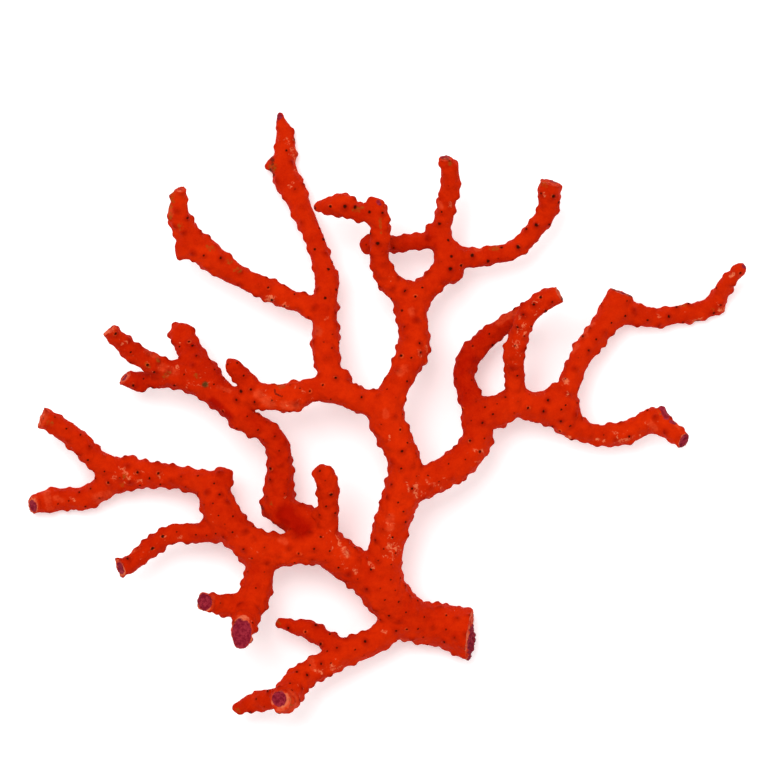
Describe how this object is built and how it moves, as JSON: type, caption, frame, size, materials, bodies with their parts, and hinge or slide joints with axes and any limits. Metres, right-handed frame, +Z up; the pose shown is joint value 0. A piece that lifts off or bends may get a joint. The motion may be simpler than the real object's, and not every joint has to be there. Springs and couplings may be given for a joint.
{
  "type": "red coral branch",
  "caption": "Flat fan of knobbly red coral branches on a short trunk that was cut across, lying on its back.",
  "frame": {"origin": "on the table under the middle of the fan's outline", "axes": "+X along the fan's longest extent from the far left stump to the far right tip, +Y along the tall branch, +Z up from the table through the fan's thin way"},
  "size_m": [0.144, 0.1207, 0.0206],
  "materials": {
    "coral": "satin orange-red crust with low warts, tiny dark pits, pale flecks and dark crimson broken ends"
  },
  "bodies": {
    "root": {"trunk": "coral", "centre_stem": "coral", "left_limb": "coral", "lower_branch": "coral", "far_left_branch": "coral", "far_left_prong": "coral", "low_left_branch": "coral", "broken_twin_branch": "coral", "bowed_branch": "coral", "left_spray": "coral", "inner_branch": "coral", "tall_branch": "coral", "tall_side_branch": "coral", "crown_stem": "coral", "crown_hook": "coral", "crown_fork": "coral", "crown_arc_branch": "coral", "right_limb": "coral", "loop_branch": "coral", "loop_post": "coral", "rising_branch": "coral", "far_right_branch": "coral", "lower_right_branch": "coral"}
  },
  "joints": []
}
